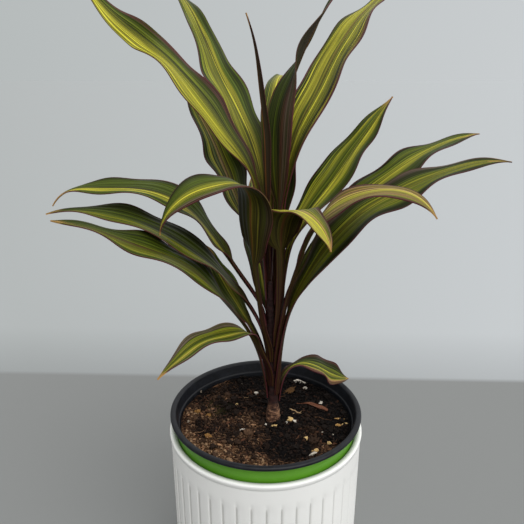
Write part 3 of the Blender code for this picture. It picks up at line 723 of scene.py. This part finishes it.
def make_green_band():
    """Green band round the collar: a cone without ends, given its thickness."""
    middle = GAP + BAND_THICKNESS / 2
    bpy.ops.mesh.primitive_cone_add(
        vertices=POT_SIDES, radius1=collar_radius(BAND_FOOT) + middle,
        radius2=collar_radius(BAND_TOP) + middle, depth=BAND_FOOT - BAND_TOP,
        end_fill_type="NOTHING", location=(0, 0, RIM_TOP - (BAND_FOOT + BAND_TOP) / 2))
    obj = bpy.context.object
    bpy.ops.object.transform_apply(location=True, rotation=True, scale=True)
    solid = obj.modifiers.new("thickness", "SOLIDIFY")
    solid.thickness = BAND_THICKNESS
    solid.offset = 0
    edge = obj.modifiers.new("edges", "BEVEL")
    edge.width = 0.15 * MM
    edge.segments = 2
    edge.limit_method = "ANGLE"
    apply_modifiers(obj)
    # Smooth plastic film: an even green with a soft gloss
    green, tree, shader = new_material("green_printed_band", 0.38, 0.4)
    place = add(tree, "ShaderNodeTexCoord", out="Object")
    cloud = add(tree, "ShaderNodeTexNoise", {"Vector": place, "Scale": 30.0, "Detail": 4.0})
    tint = add(tree, "ShaderNodeValToRGB", {0: cloud},
               [(0.3, linear("#58951f")), (0.7, linear("#63a328"))])
    tree.links.new(tint, shader.inputs["Base Color"])
    return finish_piece(obj, "band_glossy", green, "green_band", "green_band", smooth=40)


def dryness(x, y):
    """The peat is dry and brown at the left and the front, and wet and black at the right."""
    large = noise.noise(Vector((x * 38, y * 38, 9.1)))
    small = noise.noise(Vector((x * 90, y * 90, 4)))
    share = 0.24 - (0.6 * x + 0.62 * y) / SOIL_RADIUS + 0.75 * (large + 0.5 * small)
    return min(max(share, 0.0), 1.0)


MOSS_PLACE = (-0.0415, 0.015, SOIL_TOP)


def peat_finish():
    """Damp fibrous peat: black gaps between brown crumbs, and a mossy tinge at the left."""
    material, tree, shader = new_material("damp_peat", 0.95, 0.15)
    place = add(tree, "ShaderNodeTexCoord", out="Object")
    fine = add(tree, "ShaderNodeTexNoise", {
        "Vector": place, "Scale": 520.0, "Detail": 6.0, "Roughness": 0.75,
        "Distortion": 1.2})
    dry = add(tree, "ShaderNodeAttribute", attribute_name="dry", out="Fac")
    dry = add(tree, "ShaderNodeMath", {0: dry, 1: 0.5}, operation="SUBTRACT")
    mixed = add(tree, "ShaderNodeMath", {0: dry, 1: 0.26, 2: fine}, operation="MULTIPLY_ADD")
    tint = add(tree, "ShaderNodeValToRGB", {0: mixed}, [
        (0.42, linear("#050303")), (0.5, linear("#160d08")), (0.57, linear("#382519")),
        (0.65, linear("#63462f")), (0.74, linear("#8f6f50"))])
    away = add(tree, "ShaderNodeVectorMath", {0: place, 1: MOSS_PLACE}, operation="DISTANCE",
               out="Value")
    moss = add(tree, "ShaderNodeMapRange", {0: away, 1: 6 * MM, 2: 16 * MM, 3: 0.5, 4: 0.0})
    colour = add(tree, "ShaderNodeMix", {0: moss, 6: tint, 7: linear("#2c2c0c")}, **TWO_COLOURS)
    set_surface(tree, shader, colour, fine, 1.0, 1.2 * MM)
    return material


# Tones of what lies on the peat, dark to pale, each with its place on the scale of tones
LOOSE_TONES = {
    "peat_crumbs": ((0.2, "#080503"), (0.45, "#21150d"), (0.75, "#543d2b"), (1.15, "#94775a")),
    "bark_chips": ((0.2, "#160b06"), (0.6, "#573725"), (1.1, "#a98260")),
    "peat_fibres": ((0.2, "#160c07"), (0.6, "#674a34"), (1.1, "#b4966f")),
    "pumice": ((0.2, "#66584a"), (0.8, "#9c8f7e"), (1.4, "#d2cabc")),
    "tan_chips": ((0.2, "#3a2617"), (0.7, "#99703c"), (1.15, "#d2b27a")),
}


def crumb_finish(name):
    """Loose, dull grains: each one has its own tone, kept in the attribute named tone."""
    material, tree, shader = new_material(name, 0.9, 0.2)
    place = add(tree, "ShaderNodeTexCoord", out="Object")
    speck = add(tree, "ShaderNodeTexNoise", {"Vector": place, "Scale": 900.0, "Detail": 3.0})
    tone = add(tree, "ShaderNodeAttribute", attribute_name="tone", out="Fac")
    mixed = add(tree, "ShaderNodeMath", {0: speck, 1: 0.4, 2: tone}, operation="MULTIPLY_ADD")
    tint = add(tree, "ShaderNodeValToRGB", {0: mixed},
               [(spot, linear(code)) for spot, code in LOOSE_TONES[name]])
    set_surface(tree, shader, tint, speck, 0.6, 0.5 * MM)
    return material


def peat_surface(x, y):
    """The soil's crumbly top, with grains of 1 to 3 mm."""
    r = math.hypot(x, y)
    lumps = noise.noise(Vector((x * 290, y * 290, 1.7)))
    grains = noise.noise(Vector((x * 800, y * 800, 5.3)))
    calm = ease(SOIL_RADIUS, SOIL_RADIUS - 2 * MM, r)
    return soil_height(x, y) + (1.1 * MM * lumps + 0.8 * MM * grains) * calm


def make_soil():
    """Peat: plain sides down in the pot, and a crumbly top that closes in on the cane."""
    hole = cane_radius(0) + GAP
    foot = RIM_TOP - POT_HEIGHT + POT_WALL + GAP
    shoulder = POT_HEIGHT - POT_WALL - 4 * MM
    under_collar = POT_COLLAR_FOOT + 2 * MM
    lower = ((pot_inside(POT_HEIGHT) - 2 * POT_WALL, foot),
             (pot_inside(shoulder) - GAP, RIM_TOP - shoulder),
             (pot_inside(under_collar) - 2 * GAP, RIM_TOP - under_collar))

    def place(ring, reach, angle):
        if ring < len(lower):
            radius, height = lower[ring]
            return (reach * radius * math.cos(angle), reach * radius * math.sin(angle), height)
        share = 1 - (ring - len(lower)) / (SOIL_RINGS - 1)
        radius = reach * (share * SOIL_RADIUS + (1 - share) * hole)
        x = radius * math.cos(angle) + (1 - share) * CANE_OFFSET
        y = radius * math.sin(angle)
        return (x, y, peat_surface(x, y))

    obj = turned(range(len(lower) + SOIL_RINGS), SOIL_SIDES, place)
    add_attribute(obj, "dry", lambda spot: dryness(spot.x, spot.y))
    return finish_piece(obj, "peat_top", peat_finish(), "soil", "soil", smooth=180)


def lay_grains(name, finish, grains, seed, detail=1):
    """Jagged grains in one mesh, each given by x and y in metres, length, width and height in
    mm, its turn and its tone.
    """
    rng = random.Random(seed)
    bpy.ops.mesh.primitive_ico_sphere_add(subdivisions=detail, radius=1)
    obj = bpy.context.object
    corners = [vert.co.copy() for vert in obj.data.vertices]
    faces = [list(face.vertices) for face in obj.data.polygons]
    verts = []
    polygons = []
    values = []
    for x, y, length, width, height, angle, tone in grains:
        turn = Matrix.Rotation(angle, 3, "Z") @ Matrix.Rotation(rng.uniform(-0.4, 0.4), 3, "Y")
        stretch = Vector((length, width, height)) * MM / 2
        middle = Vector((x, y, peat_surface(x, y) + 0.35 * height * MM))
        start = len(verts)
        for corner in corners:
            lump = noise.noise(corner * 1.6 + Vector((start, 0.37 * start, 0)))
            jag = corner * (rng.uniform(0.72, 1.15) if detail == 1
                            else 0.9 + 0.9 * lump + rng.uniform(-0.06, 0.06))
            shaped = Vector([a * b for a, b in zip(jag, stretch)])
            verts.append(middle + turn @ shaped)
        polygons += [[start + i for i in face] for face in faces]
        values += [tone] * len(faces)
    mesh = bpy.data.meshes.new(name)
    mesh.from_pydata(verts, [], polygons)
    tone = mesh.attributes.new("tone", "FLOAT", "FACE")
    tone.data.foreach_set("value", values)
    obj.data = mesh
    return finish_piece(obj, name, finish, "soil", smooth=35)


def scattered(count, seed, length, width, height, palest):
    """Places and sizes of loose grains, darker where the peat is wet."""
    rng = random.Random(seed)
    grains = []
    while len(grains) < count:
        r = SOIL_RADIUS * math.sqrt(rng.random()) * 0.965
        angle = rng.uniform(0, math.tau)
        x, y = r * math.cos(angle), r * math.sin(angle)
        if math.hypot(x - CANE_OFFSET, y) < CANE_SOIL_RADIUS + 2 * MM:
            continue
        size = rng.uniform(0.6, 1.3)
        shade = (0.1 + 0.9 * dryness(x, y)) * (0.3 + 0.7 * rng.random())
        grains.append((x, y, length * size, width * size * rng.uniform(0.7, 1.2), height * size,
                       rng.uniform(0, math.tau), palest * shade))
    return grains


# What is strewn over the peat: its count, the seed for its places, its length, width and
# height in mm, its palest tone, then the seed for its shapes and how finely each is shaped
STREWN = {
    "crumbs": ((2300, 11, 2.2, 1.8, 1.5, 0.9), 21, 1),
    "clods": ((130, 15, 5.4, 4.2, 3.0, 0.75), 26, 2),
    "bark": ((300, 12, 4.0, 1.7, 1.2, 0.9), 22, 1),
    "fibres": ((650, 13, 4.2, 0.6, 0.5, 0.9), 23, 1),
}


def strew(name, finish):
    """Lay one kind of loose grain all over the peat."""
    spread, seed, detail = STREWN[name]
    lay_grains(name, finish, scattered(*spread), seed, detail)


# Paler bits, where they lie on the peat: x and y from the pot's middle, then length, width and
# height, all in mm, the turn in degrees, and a tone from 0, dark, to 1, pale
PALE_BITS = (
    (-7.6, 35.5, 4.6, 2.8, 2.2, -20, 1.0), (-20.6, 51.2, 3.2, 2.2, 1.6, 30, 0.55),
    (-32.1, 23.9, 1.8, 1.4, 1.2, 0, 0.8), (-30.5, 12.2, 1.7, 1.2, 1.0, 0, 0.8),
    (-18.7, -15.4, 4.2, 2.4, 1.6, 15, 0.95), (-57.0, 39.7, 2.8, 5.0, 2.4, 10, 0.35),
    (31.0, 54.6, 10.0, 5.2, 3.0, -12, 0.95), (35.8, 47.0, 4.2, 4.4, 2.2, 30, 0.75),
    (46.9, 22.2, 3.8, 3.6, 2.6, 0, 0.9), (23.5, -4.2, 4.2, 3.4, 2.4, 10, 0.9),
    (16.2, -7.3, 3.0, 2.2, 1.6, 40, 0.85), (0.2, -8.6, 2.4, 1.8, 1.4, 0, 0.8),
    (34.7, -45.5, 6.4, 2.4, 1.6, 8, 0.75), (52.0, -22.0, 1.6, 1.4, 1.2, 0, 0.7),
    (44.0, -19.0, 1.4, 1.2, 1.0, 0, 0.7), (-62.0, -6.0, 2.4, 3.0, 2.0, 0, 0.4),
    (-53.0, -37.0, 3.8, 2.4, 1.8, -30, 0.5), (-2.0, -33.0, 2.0, 1.4, 1.0, 20, 0.6),
)
TAN_BITS = (
    (-23.9, 18.9, 2.8, 3.0, 1.8, 20, 0.75), (-21.8, 66.0, 4.0, 2.8, 1.8, 0, 0.45),
    (19.6, -2.4, 6.0, 4.4, 2.8, 25, 0.95), (30.7, -27.3, 3.6, 3.2, 2.2, 40, 0.8),
    (47.9, -33.1, 3.6, 3.2, 2.6, 0, 0.9), (36.7, -40.6, 7.0, 2.6, 1.8, 20, 0.7),
    (57.6, -10.9, 4.8, 3.4, 2.2, 0, 0.55), (62.6, -8.0, 5.6, 3.2, 2.2, 12, 0.9),
    (60.0, -0.5, 8.6, 1.8, 1.2, -4, 0.6), (6.6, -10.5, 4.6, 2.2, 1.4, 0, 0.9),
    (21.0, 40.0, 12.0, 8.0, 2.4, 30, 0.1), (-47.0, 4.0, 6.0, 4.4, 2.6, 50, 0.3),
    (-56.0, 9.0, 5.0, 4.0, 2.6, 10, 0.35), (-44.0, -26.0, 6.4, 4.6, 2.6, -30, 0.3),
)


def grain_rows(bits):
    return [(x * MM, y * MM, *size, math.radians(turn), tone) for x, y, *size, turn, tone in bits]


# Twigs and roots on the peat: their two ends, x and y in mm, their thickness in mm and a tone
TWIGS = (
    (19.8, 12.2, 29.6, 5.9, 1.3, 0.8), (22.0, 5.5, 31.0, 9.5, 0.9, 0.6),
    (61.4, 37.0, 65.0, 33.0, 0.9, 0.9), (-46.8, 46.0, -34.0, 57.5, 1.4, 0.35),
    (-52.0, 30.0, -40.0, 42.0, 0.9, 0.25), (-12.0, 33.0, -20.0, 29.5, 0.8, 0.7),
    (8.0, -52.0, 21.0, -57.0, 0.8, 0.4), (-30.0, -44.0, -18.0, -55.0, 0.9, 0.35),
    (-58.0, -22.0, -47.0, -16.0, 0.9, 0.45), (40.0, 2.0, 52.0, -3.0, 0.7, 0.3),
    (8.0, 29.0, 18.0, 34.0, 0.8, 0.3), (-8.0, -22.0, 4.0, -27.0, 0.7, 0.35),
)


def lay_twigs(finish):
    """Thin crooked sticks that follow the peat's lumps, each shaped from a cylinder."""
    rng = random.Random(TWIG_SEED)
    sticks = []
    for x0, y0, x1, y1, thick, tone in TWIGS:
        start = Vector((x0, y0, 0)) * MM
        end = Vector((x1, y1, 0)) * MM
        side = Vector((0, 0, 1)).cross((end - start).normalized())
        bends = [rng.uniform(-0.5, 0.5) * MM for _ in range(TWIG_STEPS + 1)]

        def place(ring, reach, angle):
            f = ring / TWIG_STEPS
            spot = start.lerp(end, f) + side * bends[ring]
            under = max(peat_surface(spot.x, spot.y), soil_height(spot.x, spot.y))
            spot.z = under + 0.5 * thick * MM
            end_share = 0.3 if ring in (0, TWIG_STEPS) else 1.0
            half = reach * thick * MM / 2 * (1 - 0.5 * f) * end_share
            return spot + side * (math.cos(angle) * half) + Vector((0, 0, math.sin(angle) * half))

        stick = turned(range(TWIG_STEPS + 1), TWIG_SIDES, place)
        add_attribute(stick, "tone", lambda spot: tone)
        sticks.append(stick)
    select_only(sticks[0])
    for stick in sticks:
        stick.select_set(True)
    bpy.ops.object.join()
    return finish_piece(sticks[0], "twigs", finish, "soil", smooth=60)


def make_dead_leaf():
    """A scrap of dead leaf, dry and curled, lying on the peat with its stalk to the left."""
    foot = Vector((26.3, 18.9, 0)) * MM
    tip = Vector((51.5, 9.4, 0)) * MM
    bpy.ops.mesh.primitive_grid_add(x_subdivisions=20, y_subdivisions=8, size=2)
    obj = bpy.context.object
    forward = (tip - foot).normalized()
    side = Vector((0, 0, 1)).cross(forward)
    for vert in obj.data.vertices:
        f = (vert.co.x + 1) / 2
        reach = vert.co.y
        half = (0.35 + 2.3 * math.sin(math.pi * ease(0.12, 1.25, f))) * MM
        arch = 1.3 * MM * math.sin(math.pi * f) * math.sin(3.3 * f + 0.4) ** 2
        lift = 1.6 * MM + arch + 0.9 * MM * reach ** 2 * math.sin(math.pi * f)
        spot = foot.lerp(tip, f) + side * (half * reach + 1.0 * MM * math.sin(4 * f))
        spot.z = soil_height(spot.x, spot.y) + lift
        vert.co = spot
    solid = obj.modifiers.new("thickness", "SOLIDIFY")
    solid.thickness = 0.35 * MM
    solid.offset = 1
    apply_modifiers(obj)
    # Dry leaf: dull and red-brown, with its veins still to be seen
    material, tree, shader = new_material("dead_leaf", 0.8, 0.2)
    uv = add(tree, "ShaderNodeUVMap", uv_map=obj.data.uv_layers[0].name)
    spot = add(tree, "ShaderNodeMapping", {"Vector": uv, "Scale": (3, 12, 1)})
    veins = add(tree, "ShaderNodeTexNoise", {"Vector": spot, "Scale": 1.0, "Detail": 4.0})
    tint = add(tree, "ShaderNodeValToRGB", {0: veins}, [
        (0.3, linear("#34190f")), (0.5, linear("#663c29")), (0.7, linear("#9c6f55"))])
    set_surface(tree, shader, tint, veins, 0.5, 0.4 * MM)
    return finish_piece(obj, "dead_leaf", material, "soil", smooth=60)


def make_cane():
    """The cane: a tan, ringed foot that darkens to red-purple between the stalks."""
    low = -3 * MM
    levels = [-CANE_FOOT_DEPTH] + [low + (CANE_TOP - low) * k / CANE_RINGS
                                   for k in range(CANE_RINGS + 1)]

    def place(ring, reach, angle):
        up = levels[ring]
        centre = cane_centre(up)
        if not reach:
            return (centre.x, centre.y, centre.z + (1.5 * MM if ring else 0))
        ringed = max(0.0, math.sin(math.tau * up / LEAF_SPACING + 0.6 * math.sin(angle)))
        spot = Vector((math.cos(angle) * 2, math.sin(angle) * 2, up * 300))
        r = cane_radius(max(up, 0)) - CANE_SCAR * ringed + CANE_ROUGH * noise.noise(spot)
        return (centre.x + r * math.cos(angle), r * math.sin(angle), centre.z)

    obj = turned(levels, CANE_SIDES, place)
    material, tree, shader = new_material("corky_cane", 0.7, 0.3)
    spot = add(tree, "ShaderNodeTexCoord", out="Object")
    height = add(tree, "ShaderNodeSeparateXYZ", {0: spot}, out=2)
    bark_map = add(tree, "ShaderNodeMapping", {"Vector": spot, "Scale": (1, 1, 3)})
    bark = add(tree, "ShaderNodeTexNoise", {
        "Vector": bark_map, "Scale": 240.0, "Detail": 5.0, "Roughness": 0.65})
    tan = add(tree, "ShaderNodeValToRGB", {0: bark}, [
        (0.38, linear("#22140f")), (0.5, linear("#5c3f30")), (0.62, linear("#a27a5c"))])
    dark = add(tree, "ShaderNodeValToRGB", {0: bark}, [
        (0.35, linear("#170909")), (0.65, linear("#3a1f1c"))])
    young = add(tree, "ShaderNodeMapRange", {
        0: height, 1: SOIL_TOP + 8 * MM, 2: SOIL_TOP + 18 * MM})
    colour = add(tree, "ShaderNodeMix", {0: young, 6: tan, 7: dark}, **TWO_COLOURS)
    set_surface(tree, shader, colour, bark, 0.5, 0.5 * MM)
    return finish_piece(obj, "cane_scarred", material, "stem", "stem", smooth=60)


# Surroundings

# The lens is a choice, and the eye's place follows from the ellipses of the two rims
LENS = 38.47                # mm, on a frame 36 mm wide
FRAME_WIDTH = 36
EYE = (-0.003, -0.390, RIM_TOP + 0.254)
LOOK_DOWN = 18.71           # degrees
FLOOR_SIZE = 60
TABLE = "#848685"
TABLE_END = (0.304, 0.314)  # where the table gives way to the sheet
TABLE_SLANT = 0.033         # the table's back edge runs a little aslant
# Painted light: the sheet is paler to the right, where the light falls from
SHEET = ("#a4a8a8", "#b5b9bb")      # from the left of the picture to its right
SHEET_SHADE = (0.309, 0.46)         # over this stretch the sheet comes out of its foot's shade
SHEET_VIEW = 0.47                   # how far aside those two colours lie, for each metre away
# Painted light: what is seen past the sheet is paler to the right, where the light falls from
ROOM = ("#b6bbbb", "#c9cdcf")       # what is seen above the floor, from left to right
ROOM_VIEW = 0.42
ROOM_LIGHT = (0.42, 1.15)           # from below to overhead
SUN_STRENGTH = 1.3
SUN_SPREAD = 50             # degrees, for soft shadows
SUN_TILT = (34, 24)         # degrees, towards the back and the left


def make_stage():
    """Grey table in front of a plain pale sheet, seen as one wide floor."""
    bpy.ops.mesh.primitive_plane_add(size=FLOOR_SIZE)
    floor = bpy.context.object
    floor.name = "floor"
    material, tree, shader = new_material("studio_floor", 0.9, 0.1)
    place = add(tree, "ShaderNodeTexCoord", out="Object")
    x, y, _ = add(tree, "ShaderNodeSeparateXYZ", {0: place}).node.outputs
    level = add(tree, "ShaderNodeMath", {0: x, 1: TABLE_SLANT, 2: y}, operation="MULTIPLY_ADD")
    beyond = add(tree, "ShaderNodeMapRange", {0: level, 1: TABLE_END[0], 2: TABLE_END[1]})
    away = add(tree, "ShaderNodeMath", {0: y, 1: -EYE[1]}, operation="ADD")
    aside = add(tree, "ShaderNodeMath", {0: x, 1: away}, operation="DIVIDE")
    # Painted light: the sheet goes from its darker left to its paler right
    right = add(tree, "ShaderNodeMapRange", {0: aside, 1: -SHEET_VIEW, 2: SHEET_VIEW})
    sheet = add(tree, "ShaderNodeMix", {0: right, 6: linear(SHEET[0]), 7: linear(SHEET[1])},
                **TWO_COLOURS)
    shade = add(tree, "ShaderNodeMapRange", {
        0: level, 1: SHEET_SHADE[0], 2: SHEET_SHADE[1], 3: 0.8, 4: 1.0})
    shaded = add(tree, "ShaderNodeMix", {0: 1.0, 6: sheet, 7: shade}, **TWO_COLOURS,
                 blend_type="MULTIPLY")
    colour = add(tree, "ShaderNodeMix", {0: beyond, 6: linear(TABLE), 7: shaded}, **TWO_COLOURS)
    tree.links.new(colour, shader.inputs["Base Color"])
    floor.data.materials.append(material)


def make_light():
    """A large soft light from above, a little from the right, in a pale room."""
    world = bpy.data.worlds.new("room")
    bpy.context.scene.world = world
    world.use_nodes = True
    tree = world.node_tree
    shade = tree.nodes["Background"]
    shade.inputs["Strength"].default_value = 1.0
    place = add(tree, "ShaderNodeTexCoord", out="Generated")
    x, _, z = add(tree, "ShaderNodeSeparateXYZ", {0: place}).node.outputs
    up = add(tree, "ShaderNodeMapRange", {
        0: z, 1: -0.1, 2: 1.0, 3: ROOM_LIGHT[0], 4: ROOM_LIGHT[1]})
    lit = add(tree, "ShaderNodeMath", {0: x, 1: 0.34, 2: up}, operation="MULTIPLY_ADD")
    seen = add(tree, "ShaderNodeLightPath", out="Is Camera Ray")
    # Painted light: the room the camera sees goes from darker at the left to paler at the right
    right = add(tree, "ShaderNodeMapRange", {0: x, 1: -ROOM_VIEW, 2: ROOM_VIEW})
    behind = add(tree, "ShaderNodeMix", {0: right, 6: linear(ROOM[0]), 7: linear(ROOM[1])},
                 **TWO_COLOURS)
    colour = add(tree, "ShaderNodeMix", {0: seen, 6: lit, 7: behind}, **TWO_COLOURS)
    tree.links.new(colour, shade.inputs["Color"])
    sun = bpy.data.lights.new("window", "SUN")
    sun.energy = SUN_STRENGTH
    sun.angle = math.radians(SUN_SPREAD)
    lamp = bpy.data.objects.new("window", sun)
    lamp.rotation_euler = (math.radians(SUN_TILT[0]), math.radians(SUN_TILT[1]), 0)
    bpy.context.scene.collection.objects.link(lamp)


def make_camera():
    """The photo's view: its lens and place."""
    camera = bpy.data.cameras.new("camera")
    camera.lens = LENS
    camera.sensor_width = FRAME_WIDTH
    camera.clip_start = 0.01
    camera.clip_end = 100
    eye = bpy.data.objects.new("camera", camera)
    eye.location = EYE
    eye.rotation_euler = (math.radians(90 - LOOK_DOWN), 0, 0)
    bpy.context.scene.collection.objects.link(eye)
    bpy.context.scene.camera = eye
    bpy.context.scene.view_settings.view_transform = "Standard"


def build():
    bpy.ops.object.select_all(action="DESELECT")
    make_camera()
    make_light()
    make_stage()
    make_planter()
    make_grower_pot()
    make_green_band()
    make_soil()
    make_cane()
    peat = crumb_finish("peat_crumbs")
    strew("crumbs", peat)
    strew("clods", peat)
    strew("bark", crumb_finish("bark_chips"))
    fibre = crumb_finish("peat_fibres")
    strew("fibres", fibre)
    lay_twigs(fibre)
    lay_grains("pumice", crumb_finish("pumice"), grain_rows(PALE_BITS), seed=24, detail=2)
    lay_grains("tan_chips", crumb_finish("tan_chips"), grain_rows(TAN_BITS), seed=25, detail=2)
    make_dead_leaf()
    for leaf in LEAVES + [SPEAR]:
        make_leaf(leaf)


build()
